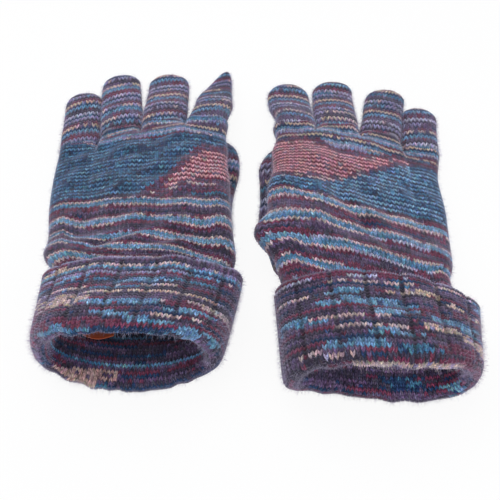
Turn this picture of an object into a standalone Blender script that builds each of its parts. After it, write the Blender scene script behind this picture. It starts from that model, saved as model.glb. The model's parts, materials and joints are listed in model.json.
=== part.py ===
# A pair of striped knitted gloves with turned-back ribbed cuffs, lying palm down on a table.
# Each glove is laid out from its wrist seam: u runs across the hand towards the thumb,
# v runs from the wrist to the fingertips, and z is up from the table. Metres throughout.

import math

import bmesh
import bpy
from mathutils import Vector

# Fabric
KNIT_WALL = 0.0023            # stockinette of the hand, fingers and thumb
RIB_WALL = 0.0024             # wrist rib, the inner layer of the cuff
CUFF_WALL = 0.0034            # turned-back layer of the cuff
GUSSET_WALL = 0.0016
CLEARANCE = 0.0004            # between pieces that touch on the real glove
HINGE_CLEARANCE = 0.0006      # between a finger's round base and the hand
RIM_LIP = 0.0008              # edge left at a finger's open base

# Fingers, from the thumb side outwards
FINGERS = ("index", "middle", "ring", "little")
FINGER_WIDTH = {"index": 0.0258, "middle": 0.0252, "ring": 0.0245, "little": 0.0228}
FINGER_BASE = {"index": 0.1210, "middle": 0.1270, "ring": 0.1260, "little": 0.1155}
FINGER_LIFT = {"index": 1.0, "middle": 0.6, "ring": 0.2, "little": 0.0}
FINGER_GAP = 0.0010
FINGER_THICKNESS = 0.0124
FINGERTIP_THICKNESS = 0.0096
FINGERTIP_LENGTH = 0.0110     # rounded stretch at the tip
TIP_ROUNDING = 0.98           # share of the rounded stretch's ellipse that is used
TIP_END_THICKNESS = 0.5       # thickness at the very end, as a share of the tip's
TIP_END_FLAT = 0.1            # straight stretch left across the very end

# Thumb, tucked under the palm, and the gusset that carries it
THUMB_WIDTH = 0.0220
THUMB_LENGTH = 0.0670
THUMB_BASE = 0.0430
THUMB_THICKNESS = 0.0092
GUSSET_START = 0.0160
GUSSET_START_WIDTH = 0.0140
GUSSET_START_THICKNESS = 0.0056
GUSSET_START_INSET = 0.0050   # its wrist end lies nearer the middle of the palm

# Touch pads under the tips of the index finger and the thumb
PAD_WIDTH = 0.0110
PAD_LENGTH = 0.0150
PAD_THICKNESS = 0.0012
PAD_CORNER = 0.0040
PAD_SETBACK = 0.0070          # from the tip to the pad

# Hand
SEAM_LENGTH = 0.0060          # straight stretch beside the wrist seam
MORPH_LENGTH = 0.0950         # from the width of the wrist to that of the palm
BEND_LENGTH = 0.0400          # over which the hand turns to its splay
MORPH_POWER = 3.2             # the hand widens quickly at first
BRIDGE_SIDE = 0.0010          # a bridge reaches this far behind each finger
BRIDGE_LENGTH = 0.0040
BRIDGE_CLEARANCE = 0.0007     # between a bridge and the fabric above and below it

# Cuff
RIB_HALF_WIDTH = 0.0365
RIB_HALF_HEIGHT = 0.0121
MOUTH_HEIGHT = 0.0440
EDGE_FLARE = 0.0042           # free edge of the turned cuff, wider than the mouth
LIP_DEPTH = 0.0034            # fold at the mouth
LIP_WIDTH = 0.0066
FOLD_ROUNDING = 0.7           # share of the wall left where the fold starts to turn in
FOLD_STEPS = (0.5, 0.12, 0.33)  # rings of the fold, as shares of its depth
OVAL_POWER = 2.2

# Sewn-in label
LABEL_WIDTH = 0.0130
LABEL_LENGTH = 0.0180
LABEL_THICKNESS = 0.0006
LABEL_OFFSET = 0.0160         # from the middle of the wrist, away from the thumb
LABEL_DEPTH = 0.0240          # from the mouth

# How each glove lies. side is +1 where the thumb points to +X.
GLOVES = {
    "left": {
        "side": 1, "cuff_x": -0.0480, "wrist_y": -0.0720, "splay": 5.4, "palm_shift": -0.0040,
        "cuff_edge": 0.0015, "cuff_length": 0.0500, "mouth_pull": 0.0080,
        "cuff_slant": 0.0, "edge_slant": 0.0, "thumb_offset": 0.0, "thumb_lean": 6.0,
        "length": {"index": 0.0780, "middle": 0.0710, "ring": 0.0740, "little": 0.0620},
        "lean": {"index": 9.0, "middle": 0.0, "ring": -6.2, "little": -6.2},
    },
    "right": {
        "side": -1, "cuff_x": 0.0528, "wrist_y": -0.0770, "splay": 5.5, "palm_shift": 0.0012,
        "cuff_edge": -0.0020, "cuff_length": 0.0458, "mouth_pull": 0.0040,
        "cuff_slant": -0.055, "edge_slant": -0.060, "thumb_offset": 0.0050, "thumb_lean": 0.5,
        "length": {"index": 0.0690, "middle": 0.0660, "ring": 0.0580, "little": 0.0500},
        "lean": {"index": 6.0, "middle": 3.2, "ring": -6.4, "little": -6.4},
    },
}

# Derived sizes
FINGER_RADIUS = FINGER_THICKNESS / 2
THUMB_RADIUS = THUMB_THICKNESS / 2
HAND_LIFT = THUMB_THICKNESS + CLEARANCE
LIFT_LENGTH = THUMB_BASE - SEAM_LENGTH - THUMB_THICKNESS
PAD_SEAT = PAD_THICKNESS + CLEARANCE
THUMB_TIP_THICKNESS = THUMB_THICKNESS - PAD_SEAT
HAND_HALF_WIDTH = (sum(FINGER_WIDTH.values()) + FINGER_GAP * (len(FINGERS) - 1)) / 2
OVAL_CENTRE = CUFF_WALL + CLEARANCE + RIB_HALF_HEIGHT

# Mesh density
ARC_STEPS = 5
OVAL_STEPS = 32
HAND_STATIONS = (0.0, 0.05, 0.14, 0.26, 0.38, 0.52, 0.76, 1.0)
FINGER_STATIONS = (0.22, 0.45, 0.65)
TIP_STATIONS = (0.0, 0.45, 0.75, 0.93, 1.0)
RIM_STATIONS = (1.0, 0.6, 0.3, 0.0)
CUFF_STATIONS = (0.0, 0.3, 0.6, 0.85)
SHARP_ANGLE = 50.0


def smooth(t):
    t = min(1.0, max(0.0, t))
    return t * t * (3 - 2 * t)


def lerp(a, b, t):
    return a + (b - a) * t


def wool(name, colour, roughness=0.9):
    material = bpy.data.materials.new(name)
    material.use_nodes = True
    shader = material.node_tree.nodes["Principled BSDF"]
    shader.inputs["Base Color"].default_value = (*colour, 1.0)
    shader.inputs["Roughness"].default_value = roughness
    shader.inputs["Metallic"].default_value = 0.0
    return material


def add_object(name, bm, material, parent, location=(0.0, 0.0, 0.0), turn=0.0):
    bmesh.ops.recalc_face_normals(bm, faces=bm.faces)
    mesh = bpy.data.meshes.new(name)
    bm.to_mesh(mesh)
    bm.free()
    mesh.shade_smooth()
    mesh.set_sharp_from_angle(angle=math.radians(SHARP_ANGLE))
    mesh.materials.append(material)
    piece = bpy.data.objects.new(name, mesh)
    bpy.context.collection.objects.link(piece)
    piece.parent = parent
    piece.location = location
    piece.rotation_euler.z = turn
    return piece


def add_empty(name, parent=None, location=(0.0, 0.0, 0.0)):
    empty = bpy.data.objects.new(name, None)
    bpy.context.collection.objects.link(empty)
    empty.parent = parent
    empty.location = location
    return empty


# Lofting

def lay_rings(bm, rings):
    return [[bm.verts.new(point) for point in ring] for ring in rings]


def join_rings(bm, near, far):
    for i in range(len(near)):
        j = (i + 1) % len(near)
        bm.faces.new((near[i], near[j], far[j], far[i]))


def sleeve(rings):
    # A tube open at both ends: the rings run along the outside and back along the inside.
    bm = bmesh.new()
    laid = lay_rings(bm, rings)
    for i, near in enumerate(laid):
        join_rings(bm, near, laid[(i + 1) % len(laid)])
    return bm


def sock(outer, inner):
    # A tube closed at its far end, with a cavity open at its near end.
    bm = bmesh.new()
    laid_outer = lay_rings(bm, outer)
    laid_inner = lay_rings(bm, inner)
    for rings in (laid_outer, laid_inner):
        for near, far in zip(rings, rings[1:]):
            join_rings(bm, near, far)
        bm.faces.new(rings[-1])
    join_rings(bm, laid_outer[0], laid_inner[0])
    return bm


def block(size, corner=0.0):
    # A plate with its base at z = 0, its upright edges rounded by corner.
    bm = bmesh.new()
    bmesh.ops.create_cube(bm, size=1.0)
    bmesh.ops.translate(bm, verts=bm.verts, vec=(0.0, 0.0, 0.5))
    bmesh.ops.scale(bm, verts=bm.verts, vec=size)
    if corner:
        upright = [e for e in bm.edges if abs(e.verts[0].co.z - e.verts[1].co.z) > size[2] / 2]
        bmesh.ops.bevel(bm, geom=upright, offset=corner, segments=3, profile=0.5, affect="EDGES")
    return bm


# Cross-sections, as (across, up) points in order round the ring

def flat_oval(flat, radius):
    # Straight top and bottom of half-length flat, joined by half circles.
    points = [(flat, radius), (0.0, radius), (-flat, radius)]
    for k in range(1, ARC_STEPS):
        angle = math.pi / 2 + math.pi * k / ARC_STEPS
        points.append((-flat + radius * math.cos(angle), radius * math.sin(angle)))
    points += [(-flat, -radius), (0.0, -radius), (flat, -radius)]
    for k in range(1, ARC_STEPS):
        angle = -math.pi / 2 + math.pi * k / ARC_STEPS
        points.append((flat + radius * math.cos(angle), radius * math.sin(angle)))
    return points


def egg(half_width, low, high):
    # A squarish oval whose upper half may be taller than its lower half.
    points = []
    for k in range(OVAL_STEPS):
        angle = 2 * math.pi * k / OVAL_STEPS
        c = math.cos(angle)
        s = math.sin(angle)
        across = math.copysign(abs(c) ** (2 / OVAL_POWER), c) * half_width
        up = math.copysign(abs(s) ** (2 / OVAL_POWER), s) * (high if s > 0 else low)
        points.append((across, up))
    return points


def oval_rise(across, half_width, half_height):
    return half_height * (1 - min(1.0, abs(across / half_width)) ** OVAL_POWER) ** (1 / OVAL_POWER)


# Layout of the hand

def finger_centre(finger):
    u = HAND_HALF_WIDTH
    for name in FINGERS:
        if name == finger:
            return u - FINGER_WIDTH[name] / 2
        u -= FINGER_WIDTH[name] + FINGER_GAP


def finger_edge(finger, inward):
    return finger_centre(finger) + inward * FINGER_WIDTH[finger] / 2


def plan(glove, u, v):
    # Place of a point in the glove's own empty, which stands on the wrist seam.
    splay = math.radians(glove["splay"])
    turn = splay * smooth(v / BEND_LENGTH)
    inward = glove["palm_shift"] * smooth(v / MORPH_LENGTH) - math.sin(splay) * v + u * math.cos(turn)
    forward = math.cos(splay) * v + u * math.sin(turn)
    slant = glove["cuff_slant"] * (1 - smooth(v / BEND_LENGTH))
    return glove["side"] * inward, forward + slant * glove["side"] * u


def finger_turn(glove, lean):
    return glove["side"] * math.radians(glove["splay"] - lean)


def base_line(glove, finger, u):
    # Distance from the wrist seam to a finger's hinge line, at u across the hand.
    lean = math.radians(glove["lean"][finger])
    return FINGER_BASE[finger] - (u - finger_centre(finger)) * math.tan(lean)


def socket_setback(radius, wall):
    # How far the rim round a finger's base lies behind its hinge: outside, inside and below.
    reach = radius + HINGE_CLEARANCE
    outside = math.sqrt(reach ** 2 - radius ** 2)
    inside = math.sqrt(reach ** 2 - (radius - wall) ** 2)
    return outside, inside, reach


def hand_columns():
    # Points across the flat of the hand, as (finger, u at the finger end), little finger first.
    end_flat = HAND_HALF_WIDTH - FINGER_RADIUS
    columns = []
    for finger in reversed(FINGERS):
        outer = max(finger_edge(finger, -1), -end_flat)
        inner = min(finger_edge(finger, 1), end_flat)
        columns += [(finger, outer), (finger, finger_centre(finger)), (finger, inner)]
    return columns


def hand_half_thickness(station):
    return lerp(RIB_HALF_HEIGHT, FINGER_RADIUS, station)


def lift_share(finger, u, station):
    # The palm slopes down from the thumb side, and steps from finger to finger at their bases.
    slope = [
        (finger_edge("little", 1), 0.0), (finger_centre("ring"), FINGER_LIFT["ring"]),
        (finger_centre("middle"), FINGER_LIFT["middle"]), (finger_edge("index", -1), FINGER_LIFT["index"]),
    ]
    share = slope[-1][1] if u > slope[-1][0] else slope[0][1]
    for (u_low, low), (u_high, high) in zip(slope, slope[1:]):
        if u_low <= u <= u_high:
            share = lerp(low, high, (u - u_low) / (u_high - u_low))
    steps = smooth((station - HAND_STATIONS[-2]) / (HAND_STATIONS[-1] - HAND_STATIONS[-2]))
    return lerp(share, FINGER_LIFT[finger], steps)


def hand_point(glove, finger, across, up, edge, station, inset, setback):
    # across runs from -1 to 1 over the flat, edge from -1 to 1 over a rounded side,
    # and up from -1 at the bottom to 1 at the top.
    half = hand_half_thickness(station)
    flat = HAND_HALF_WIDTH - half
    side = math.sqrt(max(0.0, 1 - up * up))
    palm_u = across * flat + edge * side * (half - inset)
    palm_z = HAND_LIFT * lift_share(finger, palm_u, station) + half + up * (half - inset)
    wrist_flat = RIB_HALF_WIDTH - RIB_HALF_HEIGHT
    wrist_width = RIB_HALF_WIDTH - inset
    wrist_height = RIB_HALF_HEIGHT - inset
    if edge:
        rise = up * oval_rise(wrist_flat, wrist_width, wrist_height)
        wrist_u = edge * oval_rise(rise, wrist_height, wrist_width)
    else:
        wrist_u = across * wrist_flat
        rise = up * oval_rise(wrist_u, wrist_width, wrist_height)
    end_u = across * (HAND_HALF_WIDTH - FINGER_RADIUS) + edge * side * FINGER_RADIUS
    v = station * base_line(glove, finger, end_u) - setback
    widen = 1 - (1 - min(1.0, max(0.0, (v - SEAM_LENGTH) / MORPH_LENGTH))) ** MORPH_POWER
    flatten = smooth((v - SEAM_LENGTH) / LIFT_LENGTH)
    x, y = plan(glove, lerp(wrist_u, palm_u, widen), v)
    return Vector((x, y, lerp(OVAL_CENTRE + rise, palm_z, flatten)))


def hand_ring(glove, station, inset):
    outside, inside, below = socket_setback(FINGER_RADIUS, KNIT_WALL)
    at_end = station == HAND_STATIONS[-1]
    above = (inside if inset else outside) if at_end else 0.0
    under = below if at_end else 0.0
    columns = hand_columns()
    end_flat = HAND_HALF_WIDTH - FINGER_RADIUS
    ring = []
    for finger, u in columns:
        ring.append(hand_point(glove, finger, u / end_flat, 1.0, 0, station, inset, above))
    for k in range(1, ARC_STEPS):
        up = math.cos(math.pi * k / ARC_STEPS)
        back = above if up > 0 else under
        ring.append(hand_point(glove, FINGERS[0], 1.0, up, 1, station, inset, back))
    for finger, u in reversed(columns):
        ring.append(hand_point(glove, finger, u / end_flat, -1.0, 0, station, inset, under))
    for k in range(1, ARC_STEPS):
        up = -math.cos(math.pi * k / ARC_STEPS)
        back = above if up > 0 else under
        ring.append(hand_point(glove, FINGERS[-1], -1.0, up, -1, station, inset, back))
    return ring


def hand(glove):
    outer = [hand_ring(glove, station, 0.0) for station in HAND_STATIONS]
    inner = [hand_ring(glove, station, KNIT_WALL) for station in reversed(HAND_STATIONS)]
    return sleeve(outer + inner)


def lining_point(glove, finger, u, up, v):
    # A point just clear of the inside of the hand, at v between its last two stations.
    inset = KNIT_WALL + BRIDGE_CLEARANCE
    across = u / (HAND_HALF_WIDTH - FINGER_RADIUS)
    outside, inside, below = socket_setback(FINGER_RADIUS, KNIT_WALL)
    setback = inside if up > 0 else below
    near = hand_point(glove, finger, across, up, 0, HAND_STATIONS[-2], inset, 0.0)
    far = hand_point(glove, finger, across, up, 0, HAND_STATIONS[-1], inset, setback)
    v_near = HAND_STATIONS[-2] * base_line(glove, finger, u)
    v_far = HAND_STATIONS[-1] * base_line(glove, finger, u) - setback
    return near.lerp(far, (v - v_near) / (v_far - v_near))


def finger_bridge(glove, near, far):
    # The few stitches that close the hand between two fingers: near is towards the thumb.
    near_edge = finger_edge(near, -1)
    far_edge = finger_edge(far, 1)
    columns = [
        (near, near_edge + BRIDGE_SIDE), (near, near_edge), (far, far_edge), (far, far_edge - BRIDGE_SIDE),
    ]
    line = min(base_line(glove, near, near_edge), base_line(glove, far, far_edge))
    front = line - socket_setback(FINGER_RADIUS, KNIT_WALL)[2]
    bm = bmesh.new()
    rings = []
    for v in (front - BRIDGE_LENGTH, front):
        top = [lining_point(glove, finger, u, 1.0, v) for finger, u in columns]
        bottom = [lining_point(glove, finger, u, -1.0, v) for finger, u in reversed(columns)]
        rings.append([bm.verts.new(point) for point in top + bottom])
    join_rings(bm, *rings)
    for ring in rings:
        for i in range(len(columns) - 1):
            bm.faces.new((ring[i], ring[i + 1], ring[-2 - i], ring[-1 - i]))
    return bm


# Fingers and thumb, each with its hinge line along its own X axis

def digit(width, length, base_thickness, tip_thickness, lift, tip_lift):
    radius = base_thickness / 2
    tip_radius = tip_thickness / 2
    flat = width / 2 - radius
    rim_radius = radius - KNIT_WALL + RIM_LIP
    straight = length - FINGERTIP_LENGTH

    def ring(y, inset):
        if y <= 0:
            half = math.sqrt(radius ** 2 - y ** 2)
            half = half if not inset else radius - inset
            return [Vector((x, y, z)) for x, z in flat_oval(flat, half)]
        half = lerp(radius, tip_radius, smooth(y / straight))
        bottom = lerp(lift, tip_lift, smooth(y / straight))
        round_off = max(0.0, (y - straight) / FINGERTIP_LENGTH)
        narrow = math.sqrt(max(0.0, 1 - (TIP_ROUNDING * round_off) ** 2))
        half *= lerp(1.0, TIP_END_THICKNESS, round_off ** 2)
        ring_flat = max(flat * narrow - (half - half * narrow), TIP_END_FLAT * flat)
        rise = bottom + half - lift - radius
        return [Vector((x, y, z + rise)) for x, z in flat_oval(ring_flat, half - inset)]

    rim = -math.sqrt(radius ** 2 - rim_radius ** 2)
    shank = [straight * s for s in FINGER_STATIONS]
    tip = [straight + FINGERTIP_LENGTH * s for s in TIP_STATIONS]
    base = [rim * s for s in RIM_STATIONS]
    outer = [ring(y, 0.0) for y in base + shank + tip]
    inner = [ring(y, KNIT_WALL) for y in [base[0], base[-1]] + shank + tip[:3]]
    return sock(outer, inner)


def thumb_place(glove):
    u = finger_edge("index", -1) + CLEARANCE + THUMB_WIDTH / 2 + glove["thumb_offset"]
    x, y = plan(glove, u, THUMB_BASE)
    return x, y, finger_turn(glove, glove["thumb_lean"])


def gusset(glove):
    # A short tapered pouch under the palm, open towards the thumb's base.
    outside, inside, below = socket_setback(THUMB_RADIUS, GUSSET_WALL)
    x, y, turn = thumb_place(glove)
    start = GUSSET_START - THUMB_BASE

    def ring(ahead, inset):
        share = 1 - ahead / start
        half = lerp(GUSSET_START_THICKNESS, THUMB_THICKNESS, share) / 2
        width = lerp(GUSSET_START_WIDTH, THUMB_WIDTH, share) / 2
        middle = -glove["side"] * GUSSET_START_INSET * (1 - share)
        points = []
        for across, up in flat_oval(width - half, half - inset):
            back = 0.0
            if ahead == 0.0:
                back = below if up <= 0 else (inside if inset else outside)
            points.append(Vector((middle + across, ahead - back, half + up)))
        return points

    outer = [ring(0.0, 0.0), ring(start, 0.0)]
    inner = [ring(0.0, GUSSET_WALL), ring(start + GUSSET_WALL, GUSSET_WALL)]
    return sock(outer, inner), (x, y, 0.0), turn


# Cuff

def oval_ring(half_width, low, high, y, pull, slant):
    # pull draws the sides of the ring back from the mouth, and slant draws one side forward.
    ring = []
    for x, z in egg(half_width, low, high):
        ring.append(Vector((x, y + pull * (x / RIB_HALF_WIDTH) ** 2 + slant * x, OVAL_CENTRE + z)))
    return ring


def wrist_rib(glove):
    start = -CLEARANCE
    end = glove["cuff_edge"] - glove["cuff_length"] + LIP_DEPTH + CLEARANCE
    rings = []
    for y, inset in ((start, 0.0), (end, 0.0), (end, RIB_WALL), (start, RIB_WALL)):
        height = RIB_HALF_HEIGHT - inset
        pull = glove["mouth_pull"] if y == end else 0.0
        rings.append(oval_ring(RIB_HALF_WIDTH - inset, height, height, y, pull, glove["cuff_slant"]))
    return sleeve(rings)


def turned_cuff(glove):
    edge = glove["cuff_edge"]
    mouth = edge - glove["cuff_length"]
    lining_width = RIB_HALF_WIDTH + CLEARANCE
    lining_low = RIB_HALF_HEIGHT + CLEARANCE
    mouth_high = MOUTH_HEIGHT - OVAL_CENTRE - CUFF_WALL

    def wall_ring(share, grow, y):
        width = lining_width + EDGE_FLARE * (1 - share) + grow
        high = lerp(lining_low, mouth_high, smooth(share)) + grow
        slant = glove["cuff_slant"] + glove["edge_slant"] * (1 - share)
        return oval_ring(width, lining_low + grow, high, y, glove["mouth_pull"] * share ** 2, slant)

    def lip_ring(grow, y):
        width = RIB_HALF_WIDTH - RIB_WALL + grow
        low = RIB_HALF_HEIGHT - RIB_WALL + grow
        high = MOUTH_HEIGHT - OVAL_CENTRE - LIP_WIDTH + grow
        return oval_ring(width, low, high, y, glove["mouth_pull"], glove["cuff_slant"])

    length = glove["cuff_length"]
    outer = [wall_ring(s, CUFF_WALL, edge - length * s) for s in CUFF_STATIONS]
    fold = [
        wall_ring(1.0, CUFF_WALL, mouth + LIP_DEPTH * FOLD_STEPS[0]),
        wall_ring(1.0, CUFF_WALL * FOLD_ROUNDING, mouth + LIP_DEPTH * FOLD_STEPS[1]),
        lip_ring(CUFF_WALL / 2, mouth),
        lip_ring(0.0, mouth + LIP_DEPTH * FOLD_STEPS[2]),
        lip_ring(0.0, mouth + LIP_DEPTH),
        wall_ring(1.0, 0.0, mouth + LIP_DEPTH),
    ]
    inner = [wall_ring(s, 0.0, edge - length * s) for s in reversed(CUFF_STATIONS)]
    return sleeve(outer + fold + inner)


def label(glove):
    # A plain tab on the floor of the wrist rib, seen just inside the mouth.
    mouth = glove["cuff_edge"] - glove["cuff_length"]
    far_side = LABEL_OFFSET + LABEL_WIDTH / 2
    drop = oval_rise(far_side, RIB_HALF_WIDTH - RIB_WALL, RIB_HALF_HEIGHT - RIB_WALL)
    place = (-glove["side"] * LABEL_OFFSET, mouth + LABEL_DEPTH + LABEL_LENGTH / 2,
             OVAL_CENTRE - drop + CLEARANCE)
    return block((LABEL_WIDTH, LABEL_LENGTH, LABEL_THICKNESS)), place


def touch_pad(place, turn, length):
    # A conductive patch on the table side of a fingertip.
    reach = length - PAD_SETBACK - PAD_LENGTH / 2
    spot = (place[0] - math.sin(turn) * reach, place[1] + math.cos(turn) * reach, 0.0)
    return block((PAD_WIDTH, PAD_LENGTH, PAD_THICKNESS), PAD_CORNER), spot


def build_glove(name, glove, pair, wools):
    foot = add_empty(name + "_glove", pair, (glove["cuff_x"], glove["wrist_y"], 0.0))
    add_object(name + "_hand", hand(glove), wools["stripe"], foot)
    for near, far in zip(FINGERS, FINGERS[1:]):
        add_object(f"{name}_{near}_{far}_bridge", finger_bridge(glove, near, far), wools["plum"], foot)
    for finger in FINGERS:
        length = glove["length"][finger]
        lift = HAND_LIFT * FINGER_LIFT[finger]
        tip_lift = PAD_SEAT if finger == "index" else 0.0
        x, y = plan(glove, finger_centre(finger), FINGER_BASE[finger])
        turn = finger_turn(glove, glove["lean"][finger])
        shape = digit(FINGER_WIDTH[finger], length, FINGER_THICKNESS, FINGERTIP_THICKNESS, lift, tip_lift)
        hinge = (x, y, lift + FINGER_RADIUS)
        add_object(f"{name}_{finger}_finger", shape, wools["fingers"], foot, hinge, turn)
        if finger == "index":
            shape, spot = touch_pad((x, y), turn, length)
            add_object(name + "_index_touch_pad", shape, wools["pad"], foot, spot, turn)
    x, y, turn = thumb_place(glove)
    shape = digit(THUMB_WIDTH, THUMB_LENGTH, THUMB_THICKNESS, THUMB_TIP_THICKNESS, 0.0, PAD_SEAT)
    add_object(name + "_thumb", shape, wools["fingers"], foot, (x, y, THUMB_RADIUS), turn)
    shape, spot = touch_pad((x, y), turn, THUMB_LENGTH)
    add_object(name + "_thumb_touch_pad", shape, wools["pad"], foot, spot, turn)
    shape, place, turn = gusset(glove)
    add_object(name + "_thumb_gusset", shape, wools["plum"], foot, place, turn)
    add_object(name + "_wrist_rib", wrist_rib(glove), wools["plum"], foot)
    add_object(name + "_turned_cuff", turned_cuff(glove), wools["cuff"], foot)
    if name == "left":
        shape, place = label(glove)
        add_object("left_label", shape, wools["label"], foot, place)


def centre_on_table(pair):
    # The origin is at the middle of the pair's box, on the table.
    bpy.context.view_layer.update()
    corners = [o.matrix_world @ v.co for o in bpy.data.objects if o.type == "MESH" for v in o.data.vertices]
    for axis in (0, 1):
        values = [c[axis] for c in corners]
        pair.location[axis] = -(min(values) + max(values)) / 2


def main():
    for piece in list(bpy.data.objects):
        bpy.data.objects.remove(piece, do_unlink=True)
    wools = {
        "stripe": wool("striped wool", (0.105, 0.115, 0.190)),
        "fingers": wool("finger wool", (0.150, 0.110, 0.165)),
        "plum": wool("plum wool", (0.085, 0.055, 0.090)),
        "cuff": wool("cuff wool", (0.120, 0.115, 0.165)),
        "pad": wool("conductive thread", (0.160, 0.155, 0.150), 0.6),
        "label": wool("label tape", (0.560, 0.170, 0.060), 0.7),
    }
    pair = add_empty("glove_pair")
    for name, glove in GLOVES.items():
        build_glove(name, glove, pair, wools)
    centre_on_table(pair)


main()
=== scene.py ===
import json
import math

import bpy
import numpy as np
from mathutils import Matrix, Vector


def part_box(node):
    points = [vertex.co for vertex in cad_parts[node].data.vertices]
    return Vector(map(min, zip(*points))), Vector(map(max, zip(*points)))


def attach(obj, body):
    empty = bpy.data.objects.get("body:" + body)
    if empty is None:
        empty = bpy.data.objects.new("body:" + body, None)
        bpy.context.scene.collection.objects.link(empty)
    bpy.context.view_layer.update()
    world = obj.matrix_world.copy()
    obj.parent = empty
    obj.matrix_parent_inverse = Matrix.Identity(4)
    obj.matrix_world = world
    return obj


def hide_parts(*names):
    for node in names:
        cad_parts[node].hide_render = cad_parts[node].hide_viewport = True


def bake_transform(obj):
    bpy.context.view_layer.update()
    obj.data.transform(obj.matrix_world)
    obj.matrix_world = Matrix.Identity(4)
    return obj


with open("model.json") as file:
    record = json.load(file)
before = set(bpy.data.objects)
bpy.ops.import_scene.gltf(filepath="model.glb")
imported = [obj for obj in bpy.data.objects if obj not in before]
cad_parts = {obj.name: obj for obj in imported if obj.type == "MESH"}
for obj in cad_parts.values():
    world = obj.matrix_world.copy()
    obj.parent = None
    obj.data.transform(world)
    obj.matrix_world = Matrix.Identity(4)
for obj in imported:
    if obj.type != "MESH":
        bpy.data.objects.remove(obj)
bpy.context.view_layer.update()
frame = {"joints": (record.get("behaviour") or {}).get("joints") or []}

fingers = ("index", "middle", "ring", "little")
joints = {joint["name"]: joint for joint in frame["joints"]}


# small helpers

def unit(t):
    return np.clip(t, 0, 1)


def ease(t):
    t = unit(t)
    return t * t * (3 - 2 * t)


def mix(a, b, t):
    return a + (b - a) * t


def hump(x, middle, reach):
    return np.exp(-((x - middle) / reach) ** 2)


def dye(red, green, blue):  # screen colour 0-255 to linear light
    c = np.array((red, green, blue)) / 255
    return np.where(c < 0.04045, c / 12.92, ((c + 0.055) / 1.055) ** 2.4)


def byFinger(*values):
    return dict(zip(fingers, values))


def turned(origin, turn, x, y):
    # a place beside and along a line that leaves the origin at a turn
    c, s = math.cos(turn), math.sin(turn)
    return origin[0] + x * c - y * s, origin[1] + x * s + y * c


def ovalPoint(angle, power):
    # across and up on a flat oval of half size 1
    across, up = (np.sign(part) * np.abs(part) ** (2 / power) for part in (np.cos(angle), np.sin(angle)))
    return across, up


def setSockets(node, sockets):
    for socket, value in sockets.items():
        node.inputs[socket].default_value = value
    return node


def newMaterial(name):
    material = bpy.data.materials.new(name)
    material.use_nodes = True
    return material, material.node_tree


def addNode(tree, kind, sockets=None):
    return setSockets(tree.nodes.new("ShaderNode" + kind), sockets or {})


def link(source, output, target, socket):
    source.id_data.links.new(source.outputs[output], target.inputs[socket])


def newGrid(name, points):
    # a grid with its vertices moved to the points, line by line
    lines, columns = points.shape[:2]
    bpy.ops.object.select_all(action="DESELECT")
    bpy.ops.mesh.primitive_grid_add(x_subdivisions=columns - 1, y_subdivisions=lines - 1, size=1.0)
    piece = bpy.context.object
    piece.name = name
    piece.data.name = name
    piece.data.vertices.foreach_set("co", points.reshape(-1).astype(np.float32))
    return piece


def paintYarn(mesh, tones, domain):
    colour = np.ones((len(tones), 4), np.float32)
    colour[:, :3] = tones
    layer = mesh.attributes.new("yarn", "FLOAT_COLOR", domain)
    layer.data.foreach_set("color", colour.reshape(-1))


def thicken(piece, thickness):
    wall = piece.modifiers.new("thickness", "SOLIDIFY")
    wall.thickness = thickness
    wall.offset = 1.0
    bpy.ops.object.modifier_apply(modifier=wall.name)


def faceOut(weld=0.0):
    # turns the faces of the active piece outwards, with its doubles merged first
    bpy.ops.object.mode_set(mode="EDIT")
    bpy.ops.mesh.select_all(action="SELECT")
    if weld:
        bpy.ops.mesh.remove_doubles(threshold=weld)
        bpy.ops.mesh.delete_loose()
        bpy.ops.mesh.select_all(action="SELECT")
    bpy.ops.mesh.normals_make_consistent(inside=False)
    bpy.ops.object.mode_set(mode="OBJECT")
    bpy.ops.object.shade_smooth()


# camera and studio, first

studio = {
    "lens": 39.6, "sensor": 36.0, "nearest": 0.005, "camera": (0.0012, -0.2340, 0.2060), "lookDown": 46.7,
    "floorSize": 6.0, "floorDrop": 0.0002, "floorWhite": 0.92,
    "floorPaint": {"Base Color": (0.86, 0.86, 0.87, 1.0), "Roughness": 0.9},
    "room": {"Color": (0.97, 0.98, 1.0, 1.0), "Strength": 0.74},
    "keyPower": 4.2, "keySize": 0.9, "keyPlace": (-0.25, 0.10, 0.95),
    "fillPower": 2.2, "fillSize": 1.0, "fillPlace": (0.45, -0.75, 0.55),
}


def mixForCamera(tree, plain, shown, share, output):
    # the camera sees a share of the second shader, and all other light meets the first
    path = addNode(tree, "LightPath")
    part = addNode(tree, "Math", {1: share})
    part.operation = "MULTIPLY"
    blend = addNode(tree, "MixShader")
    link(path, "Is Camera Ray", part, 0)
    for number, source in enumerate((part, plain, shown)):
        link(source, 0, blend, number)
    link(blend, 0, tree.nodes[output], "Surface")


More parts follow.
